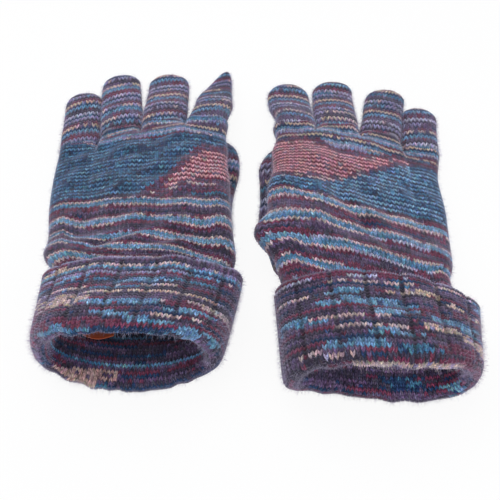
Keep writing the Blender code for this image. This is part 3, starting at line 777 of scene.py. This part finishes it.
for name, glove in gloves.items():
    for number, finger in enumerate(fingers):
        hinge = hingeOf(f"{name}_{finger}_bend")
        seed = 100 * (glove["side"] + 2) + number  # every finger has its own
        shape = digitSurface(
            *hinge, glove["side"], digitLook["start"], layout["fingerWidth"][finger] + digitLook["spread"],
            glove["length"][finger] + glove["stretch"][finger], layout["fingerRadius"], layout["tipRadius"],
            glove["tip"][finger], seed, lift=layout["palmLift"] * layout["fingerLift"][finger],
            tipLift=layout["padSeat"] if finger == "index" else 0.0, sway=glove["sway"][finger],
            taper=glove["taper"][finger], waists=glove["waist"][finger], rowTilt=glove["rowTilt"][finger])
        knitDigit(name, finger + "_finger", hinge, shape, digitLook["bendEnd"], yarnSeed=seed,
                  first=3 * seed, faces=digitLook["faces"], seed=seed)
    hinge = hingeOf(name + "_thumb_bend")
    shape = digitSurface(
        *hinge, glove["side"], digitLook["thumbStart"], layout["thumbWidth"],
        layout["thumbLength"] + digitLook["thumbStretch"], layout["thumbRadius"],
        layout["thumbRadius"] - layout["padSeat"] / 2, digitLook["thumbTip"],
        seed=77 + glove["side"], tipLift=layout["padSeat"], waists=glove["waist"]["thumb"])
    knitDigit(name, "thumb", hinge, shape, digitLook["thumbBendEnd"], yarnSeed=55 + glove["side"],
              first=2, seed=9)
print("fingers knitted")


# turned cuffs: the outer layer, the fold at the mouth and a funnel that runs back inside

cuffLook = {
    "wales": 98, "rows": 46, "girth": (0.041, 0.019), "flare": 0.0042, "wall": 0.0026, "thick": 0.0020,
    "clear": 0.0004, "mouthHeight": 0.0440,
    # rings along the cloth: share of the way to the mouth, share of the wall
    "edgeRings": ((0.0, 0.4), (0.006, 0.8)), "wallRings": (0.03, 0.93, 13),
    "foldRings": ((0.975, 0.92), (0.995, 0.6)),
    # rings of the lip: size over the opening, way back from the mouth
    "lipRings": ((0.0018, 0.0), (0.0005, 0.0012)), "lipDepth": 0.0034, "lipShare": 0.95,
    "funnelDepth": 0.0270, "funnelRings": (0.25, 1.0, 6), "funnelSink": 0.0007, "funnelShare": 0.4,
    "tuck": 0.0026, "tuckFrom": 0.7, "tuckOver": 0.3, "backStop": 0.0026, "backGrow": 0.0007,
    "uneven": 0.0006, "edgeWave": 0.0009, "lump": 0.0006, "lumpScale": 3, "lumpPower": 12,
    # insideFrom and insideFade: the rows inside the mouth where painted light brightens the yarn
    "strand": {"swap": 0.42, "heather": 0.10, "runs": (5, 15)}, "insideFrom": 28, "insideFade": 4,
    "patchShare": 0.92, "patchSwap": 0.12, "patchRag": 3,
    "knit": {"ribs": 7, "ribEnd": 24, "vee": -0.8, "backLines": 14, "seed": 5, "fibres": 6500,
             "fibreEnd": 33},
}
bySide(
    mouthShift=(-0.0010, -0.0018), mouthNarrow=(0.0023, 0.0020), mouthCorner=(0.0, -0.0055),
    edgeShift=(-0.0002, 0.0016), edgeNarrow=(-0.0008, 0.0006), edgeDrop=(0.0, 0.0034),
    edgeSlant=(0.0, -0.060), rimRise=(0.0020, -0.0030), rimReach=(-0.0015, 0.0035), chin=(0.0015, 0.0024),
    # insideTone: painted light that brightens the rows inside the mouth, which lie in shade
    chinSlope=(0.0, 1.3), lipWidth=(0.0034, 0.0056), insideTone=(1.7, 2.9), cuffTone=(1.16, 1.06))
gloves["left"]["cuffOrder"] = (
    "lavender plum dark beige blue dark lavender maroon plum slate dark dark pale slate dark beige plum "
    "dark maroon pale maroon dark maroon dark plum dark plum maroon dark slate dark plum dark maroon plum "
    "blue dark maroon slate dark plum dark maroon dark slate dark").split()
gloves["right"]["cuffOrder"] = (
    "lavender maroon pale slate plum slate dark maroon dark plum plum dark dark maroon dark maroon dark "
    "plum slate maroon dark plum dark maroon dark plum dark plum maroon dark maroon dark plum dark maroon "
    "dark plum dark maroon dark plum dark maroon dark plum dark").split()
gloves["left"]["patches"] = (  # rows from and to, wales from and to, yarn
    (2, 4, 36, 45, "beige"), (7, 9, 33, 41, "blue"), (9, 11, 15, 25, "blue"), (10, 12, 33, 41, "maroon"),
    (12, 14, 41, 47, "beige"), (16, 21, 33, 41, "beige"), (18, 19, 2, 15, "pale"), (19, 21, 20, 32, "blue"),
    (20, 23, 8, 14, "blue"), (20, 29, 42, 50, "maroon"), (23, 25, 22, 30, "blue"), (24, 25, 6, 15, "pale"),
    (25, 27, 15, 23, "blue"), (25, 28, 24, 39, "maroon"), (27, 29, 32, 39, "blue"), (27, 30, 5, 11, "blue"),
    (29, 31, 55, 68, "dusty"), (31, 33, 57, 72, "dusty"), (33, 34, 60, 73, "dusty"))
gloves["right"]["patches"] = (
    (1, 6, 0, 5, "blue"), (4, 5, 20, 38, "pale"), (6, 8, 14, 22, "beige"), (7, 9, 30, 38, "sky"),
    (8, 9, 38, 46, "pale"), (8, 10, 7, 14, "beige"), (9, 11, 1, 7, "beige"), (10, 13, 20, 30, "blue"),
    (11, 14, 4, 12, "maroon"), (11, 13, 30, 38, "blue"), (13, 16, 13, 21, "maroon"), (14, 16, 21, 30, "sky"),
    (15, 18, 38, 46, "blue"), (15, 18, 6, 13, "blue"), (16, 17, 21, 38, "pale"), (18, 20, 9, 16, "beige"),
    (19, 20, 22, 38, "pale"), (20, 22, 3, 9, "beige"), (20, 22, 21, 30, "blue"), (22, 26, 0, 4, "beige"),
    (23, 25, 22, 38, "blue"), (23, 27, 5, 16, "maroon"), (24, 26, 15, 22, "teal"), (25, 26, 38, 46, "pale"),
    (26, 27, 31, 38, "pale"), (28, 30, 11, 33, "beige"), (28, 32, 90, 98, "blue"), (32, 35, 76, 88, "slate"))


def eggPoint(angle, width, low, high):
    # an oval that is taller above its middle than below
    across, up = ovalPoint(angle, layout["ovalPower"])
    return across * width, up * np.where(up > 0, high, low)


def mouthTop(glove):
    return cuffLook["mouthHeight"] + glove["rimRise"] - layout["ribCentre"]


def funnelHigh(glove, back):
    # height of the lining's upper side above the middle of the wrist, at a way back from the mouth
    wide = mouthTop(glove) - glove["lipWidth"]
    narrow = layout["ribHeight"] - layout["ribWall"] - cuffLook["funnelSink"]
    way = (back - cuffLook["lipDepth"]) / (cuffLook["funnelDepth"] - cuffLook["lipDepth"])
    return mix(wide, narrow, ease(way))


def cuffRings(glove):
    # rings of the face and of the inside: half width, low, high, way from the free edge, share of it
    look = cuffLook
    length = glove["cuffLength"]
    wall = look["wall"]
    lining = layout["ribWidth"] + look["clear"]
    low = layout["ribHeight"] + look["clear"]
    lipHigh = mouthTop(glove) - glove["lipWidth"]
    lipWide = layout["ribWidth"] - layout["ribWall"]
    lipLow = layout["ribHeight"] - layout["ribWall"]

    def wallAt(share, grow):
        high = mix(low, mouthTop(glove) - wall, ease(share))
        return lining + look["flare"] * (1 - share) + grow, low + grow, high + grow, length * share, share

    face = [wallAt(share, part * wall) for share, part in look["edgeRings"]]
    face += [wallAt(share, wall) for share in np.linspace(*look["wallRings"])]
    face += [wallAt(share, part * wall) for share, part in look["foldRings"]]
    outer = len(face)
    for grow, back in look["lipRings"]:
        face.append((lipWide + grow, lipLow + grow, lipHigh + grow, length - back, 1.0))
    face.append((lipWide, lipLow, lipHigh, length - look["lipDepth"], look["lipShare"]))
    for t in np.linspace(*look["funnelRings"]):
        tuck = look["tuck"] * ease((t - look["tuckFrom"]) / look["tuckOver"])  # its end goes under the lining
        back = mix(look["lipDepth"], look["funnelDepth"], t)
        face.append((lipWide - look["clear"] + tuck, lipLow - look["funnelSink"] * t + tuck,
                     funnelHigh(glove, back) + tuck, length - back,
                     look["lipShare"] - look["funnelShare"] * t))
    face = np.array(face)
    inside = face.copy()
    for ring in inside[:outer]:
        ring[:3] = wallAt(ring[4], wall - look["thick"])[:3]
    inside[outer:, :3] += look["backGrow"]
    inside[:, 3] = np.minimum(inside[:, 3], length - look["backStop"])
    return face, inside


def cuffSurface(glove):
    face, inside = cuffRings(glove)
    angles = evenAngles(*cuffLook["girth"], layout["ovalPower"])[0]
    middle = face[:, 2] * 0.5 + face[:, 1] * 0.5
    way = np.concatenate([[0], np.cumsum(np.hypot(np.diff(face[:, 3]), np.diff(middle)))])
    way /= way[-1]

    def surface(around, along, deep):
        rings = face if deep < 0.5 else inside
        width, lower, upper, reach, share = (np.interp(along, way, rings[:, n]) for n in range(5))
        angle = angles(around)
        x, z = eggPoint(angle, width - mix(glove["edgeNarrow"], glove["mouthNarrow"], share), lower, upper)
        out = x / layout["ribWidth"]
        slant = glove["cuffSlant"] + glove["edgeSlant"] * (1 - share)
        pull = glove["mouthPull"] + glove["mouthCorner"] * (x < 0)
        y = glove["cuffEdge"] - reach + pull * share ** 2 * out ** 2 + slant * x
        y = y - glove["edgeDrop"] * (1 - share) ** 2 * out ** 2
        top = unit(np.sin(angle))
        chin = glove["chin"] * (1 - glove["chinSlope"] * out) * unit(-np.sin(angle))
        y = y + (chin - glove["rimReach"] * top ** 2) * share ** 2
        side = glove["side"]
        bumps = wander(x, y, cuffLook["uneven"], seed=41 + side) * top
        wave = wander(x, 0 * y, cuffLook["edgeWave"], seed=43 + side) * (1 - share) * top
        lumps = wander(cuffLook["lumpScale"] * x, 0 * y, cuffLook["lump"], seed=47 + side)
        lumps = lumps * share ** cuffLook["lumpPower"]
        x = x + mix(glove["edgeShift"], glove["mouthShift"], share)
        return np.stack([glove["foot"][0] + x, glove["foot"][1] + y + wave + lumps,
                         layout["ribCentre"] + z + bumps], axis=2)

    return surface


def cuffTones(glove):
    rows, wales = cuffLook["rows"], cuffLook["wales"]
    tones = orderedRows(glove["cuffOrder"], rows, wales, seed=61 + 5 * glove["side"], **cuffLook["strand"])
    random = np.random.default_rng(seed=71)
    for rowFrom, rowTo, waleFrom, waleTo, yarn in glove["patches"]:
        for row in range(rowFrom, rowTo):
            early, late = random.integers(-cuffLook["patchRag"], cuffLook["patchRag"] + 1, 2)
            part = tones[row, max(waleFrom + early, 0):waleTo + late]
            dice = random.random(len(part))
            part[dice < cuffLook["patchShare"]] = yarns[yarn]
            part[dice < 2 * cuffLook["patchSwap"]] = yarns[swaps[yarn][0]]
            part[dice < cuffLook["patchSwap"]] = yarns[swaps[yarn][1]]
    # painted light: the rows inside the mouth are brightened, standing in for light that reaches them
    inside = unit((np.arange(rows) - cuffLook["insideFrom"]) / cuffLook["insideFade"])
    return tones * mix(glove["cuffTone"], glove["insideTone"], inside)[:, None, None]


for name, glove in gloves.items():
    cuff = knitPiece(name + "_cuff_knit", cuffSurface(glove), cuffLook["wales"], cuffLook["rows"],
                     cuffTones(glove), wool["cuff_wool"], **cuffLook["knit"])
    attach(cuff, name + "_turned_cuff")
    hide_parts(name + "_turned_cuff")
print("cuffs turned back")


# wrist ribs, inside the cuffs

ribLook = {
    "wales": 70, "rows": 52, "wall": 0.0013, "cover": 0.0018, "mouthRoom": 0.0038, "seamGap": 0.0004,
    "turnFrom": 0.47, "turnOver": 0.06, "seamOver": 0.02,  # where the wall comes in and goes out
    "stretchFrom": -0.012, "order": "plum dark maroon dark slate plum blue dark".split(), "tone": 0.7,
    "knit": {"ribs": 7, "ribRise": 0.0004, "vee": -1.0, "backLines": 0, "seed": 6},
}


def ribSurface(glove):
    # the rows run from the wrist seam to the mouth on the outside and back on the inside
    mouth = glove["cuffEdge"] - glove["cuffLength"]
    angles = evenAngles(layout["ribWidth"], layout["ribHeight"], layout["ovalPower"])[0]

    def surface(around, along, deep):
        share = 1 - np.abs(2 * along - 1)
        inset = ribLook["wall"] * ease((along - ribLook["turnFrom"]) / ribLook["turnOver"])
        inset = inset * ease((1.0 - along) / ribLook["seamOver"])
        y = mix(-ribLook["seamGap"], mouth + ribLook["mouthRoom"], share)
        cover = funnelHigh(glove, y - mouth) + ribLook["cover"]
        x, z = eggPoint(angles(around), layout["ribWidth"] - inset, layout["ribHeight"] - inset,
                        np.maximum(layout["ribHeight"], cover) - inset)
        y = y + glove["mouthPull"] * share * (x / layout["ribWidth"]) ** 2 + glove["cuffSlant"] * x
        return np.stack([glove["foot"][0] + x, glove["foot"][1] + y, layout["ribCentre"] + z], axis=2)

    return surface


for name, glove in gloves.items():
    wales, rows = ribLook["wales"], ribLook["rows"]
    tones = ribLook["tone"] * orderedRows(ribLook["order"], rows, wales, seed=81 + glove["side"])
    rib = knitPiece(name + "_rib_knit", ribSurface(glove), wales, rows, tones, wool["plum_wool"],
                    **ribLook["knit"])
    x, y = glove["foot"]
    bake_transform(rib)
    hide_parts(name + "_wrist_rib")
print("wrist ribs knitted")


# thumb gussets, under the palms

gussetLook = {
    "length": 0.0270, "startWidth": 0.0140, "startThick": 0.0056, "startInset": 0.0050, "round": 0.0050,
    "drawBy": 0.4, "knit": {"vee": -1.0, "seed": 8, "floor": 0.0007},
}
bySide(gussetDraw=(0.0046, 0.0020))


def gussetSurface(glove, origin, turn):
    # runs back from the thumb, and takes over the thumb's waist where they meet
    angles, girth = evenAngles(layout["thumbWidth"] / 2, layout["thumbRadius"], digitLook["flatPower"])
    thumbDraw = sum(size * hump(0.0, at, reach) for way, size, at, reach in glove["waist"]["thumb"])
    side = glove["side"]

    def surface(around, along, deep):
        inset = deep * digitLook["wall"]
        end = gussetLook["length"] - inset
        back = along * end
        over = unit((back - end + gussetLook["round"]) / gussetLook["round"])
        narrow = np.sqrt(1 - over ** 2)
        width = mix(layout["thumbWidth"], gussetLook["startWidth"], along) / 2 - inset
        half = mix(layout["thumbRadius"], gussetLook["startThick"] / 2, along)
        across, up = ovalPoint(angles(around), digitLook["flatPower"])
        x = across * width * narrow - side * gussetLook["startInset"] * along
        drawn = mix(thumbDraw, glove["gussetDraw"], ease(along / gussetLook["drawBy"]))
        x = x - side * drawn * unit(across * side) ** 2 * narrow
        z = half + up * (half - inset) * narrow ** digitLook["tipRound"]
        return np.stack([*turned(origin, turn, x, -back), z], axis=2)

    return surface, int(round(girth / stitch["wale"])), int(round(gussetLook["length"] / stitch["row"]))


for name, glove in gloves.items():
    origin, turn = hingeOf(name + "_thumb_bend")
    surface, wales, rows = gussetSurface(glove, origin, turn)
    tones = orderedRows(handYarn["upper"], rows, wales, seed=91 + glove["side"])
    gusset = knitPiece(name + "_gusset_knit", surface, wales, rows, tones, wool["plum_wool"],
                       **gussetLook["knit"])
    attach(gusset, name + "_glove")
    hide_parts(name + "_thumb_gusset")
print("gussets knitted")


# touch pads, knitted in conductive thread under the tips of the index fingers and thumbs

padLook = {
    "width": 0.0110, "length": 0.0150, "thick": 0.0012, "wales": 6, "rows": 9, "faces": (6, 4),
    "corner": 0.42, "low": 0.0005, "bulge": 0.0004, "flatRim": 0.15, "rimFrom": 0.8, "rimOver": 0.2,
    "tipRoom": 0.0020,
    # light: painted glints of the metal thread on a few random faces; darkShare keeps them few
    "dark": dye(70, 68, 70), "light": dye(150, 146, 140), "darkShare": 3,
    "surface": {"Sheen Weight": 0.2, "Metallic": 0.45, "Roughness": 0.5},
}
conductive = woolMaterial("conductive thread")
setSockets(conductive.node_tree.nodes["Principled BSDF"], padLook["surface"])


def roundSquare(x, y):
    # pulls the corners of a square in
    pull = padLook["corner"]
    return x * np.sqrt(1 - pull * y * y / 2), y * np.sqrt(1 - pull * x * x / 2)


def followIndex(glove, origin, turn):
    # bends a place under the straight finger with the fingertip: shorter, drawn in and swayed
    half = (layout["fingerWidth"]["index"] + digitLook["spread"]) / 2
    long = glove["length"]["index"]
    short = long + glove["stretch"]["index"]
    edge = glove["side"] * half

    def follow(x, y):
        dx, dy = x - origin[0], y - origin[1]
        across = dx * math.cos(turn) + dy * math.sin(turn)
        along = (dy * math.cos(turn) - dx * math.sin(turn)) * (short - padLook["tipRoom"]) / long
        drawn = tipDraw(glove["taper"]["index"], along)
        across = edge + (across - edge) * (1 - drawn) + glove["sway"]["index"] * (along / short) ** 2
        return turned(origin, turn, across, along)

    return follow


def touchPad(name, body, node, turn, seed, follow=None):
    low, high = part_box(node)
    centre = (low + high) / 2
    across, along = padLook["wales"] * padLook["faces"][0], padLook["rows"] * padLook["faces"][1]
    gx, gy = np.meshgrid(np.linspace(-1, 1, across + 1), np.linspace(-1, 1, along + 1))
    wale = (gx + 1) / 2 * padLook["wales"]
    side = np.abs(2 * (wale % 1) - 1)
    row = (gy + 1) / 2 * padLook["rows"] + side - 0.5
    height = (1 - (2 * side - 1) ** 2) * np.sin(math.pi * (row % 1)) ** stitch["loopRound"]
    rim = np.maximum(np.abs(gx), np.abs(gy))
    height = height * ease((1 - rim) / padLook["flatRim"])
    z = padLook["low"] - padLook["bulge"] * height
    z = z + padLook["bulge"] * ease((rim - padLook["rimFrom"]) / padLook["rimOver"])
    x, y = roundSquare(gx, gy)
    x, y = turned(centre, turn, x * padLook["width"] / 2, y * padLook["length"] / 2)
    if follow:
        x, y = follow(x, y)
    piece = newGrid(name, np.stack([x, y, z], axis=2))
    random = np.random.default_rng(seed)
    # painted glints: a few random faces take the light colour of the metal thread
    share = random.random((len(piece.data.polygons), 1)) ** padLook["darkShare"]
    paintYarn(piece.data, mix(padLook["dark"], padLook["light"], share), "FACE")
    thicken(piece, padLook["thick"] - padLook["bulge"])
    faceOut()
    piece.data.materials.append(conductive)
    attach(piece, body)
    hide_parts(node)


for name, glove in gloves.items():
    origin, turn = hingeOf(name + "_index_bend")
    touchPad(name + "_index_pad_knit", name + "_index_finger", name + "_index_touch_pad", turn,
             seed=21, follow=followIndex(glove, origin, turn))
    turn = hingeOf(name + "_thumb_bend")[1]
    touchPad(name + "_thumb_pad_knit", name + "_thumb", name + "_thumb_touch_pad", turn, seed=22)
print("touch pads set")


# label, a plain folded tape sewn inside the left cuff

labelLook = {
    "faces": (16, 30), "reach": 0.0022, "bow": 0.0020, "thick": 0.0005, "lift": 0.0030, "liftTo": 0.8,
    "curl": 0.0009, "ripple": 0.3, "rippleAcross": 3.0, "rippleAlong": 5.0, "tilt": 0.0004, "smooth": 40,
    "tone": dye(196, 88, 44), "toneLow": 0.7, "toneHigh": 1.1, "weave": {"Scale": 5200.0 / 6},
    "surface": {"Roughness": 0.62, "Sheen Weight": 0.2}, "bump": {"Strength": 0.4, "Distance": 0.0001},
}


def labelMaterial():
    tape, tree = newMaterial("label tape")
    shader = setSockets(tree.nodes["Principled BSDF"], labelLook["surface"])
    place = addNode(tree, "TexCoord")
    weave = addNode(tree, "Math")
    weave.operation = "MULTIPLY"
    for number, direction in enumerate(("X", "Y")):
        threads = addNode(tree, "TexWave", labelLook["weave"])
        threads.bands_direction = direction
        link(place, "Object", threads, "Vector")
        link(threads, "Fac", weave, number)
    tone = addNode(tree, "Mix")
    tone.data_type = "RGBA"
    tone.inputs[6].default_value = (*(labelLook["toneLow"] * labelLook["tone"]), 1.0)
    tone.inputs[7].default_value = (*(labelLook["toneHigh"] * labelLook["tone"]), 1.0)
    link(weave, 0, tone, 0)
    link(tone, 2, shader, "Base Color")
    bump = addNode(tree, "Bump", labelLook["bump"])
    link(weave, 0, bump, "Height")
    link(bump, "Normal", shader, "Normal")
    return tape


def sewLabel():
    low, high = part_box("left_label")
    print("label lies at", [round(value, 4) for value in (*low, *high)])
    across, along = labelLook["faces"]
    gx, gy = np.meshgrid(np.linspace(0, 1, across + 1), np.linspace(0, 1, along + 1))
    x = mix(low.x, high.x, gx)
    near = low.y - labelLook["reach"] - labelLook["bow"] * np.sin(math.pi * gx)
    y = mix(near, high.y, gy)
    ripple = np.sin(labelLook["rippleAcross"] * gx + labelLook["rippleAlong"] * gy)
    z = low.z + labelLook["curl"] * (1 + labelLook["ripple"] * ripple) - labelLook["tilt"] * gx
    z = z + labelLook["lift"] * (1 - ease(gy / labelLook["liftTo"]))
    piece = newGrid("left_label_tape", np.stack([x, y, z], axis=2))
    thicken(piece, labelLook["thick"])
    bpy.ops.object.shade_smooth_by_angle(angle=math.radians(labelLook["smooth"]))
    piece.data.materials.append(labelMaterial())
    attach(piece, "left_glove")
    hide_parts("left_label")


sewLabel()
print("label sewn in")
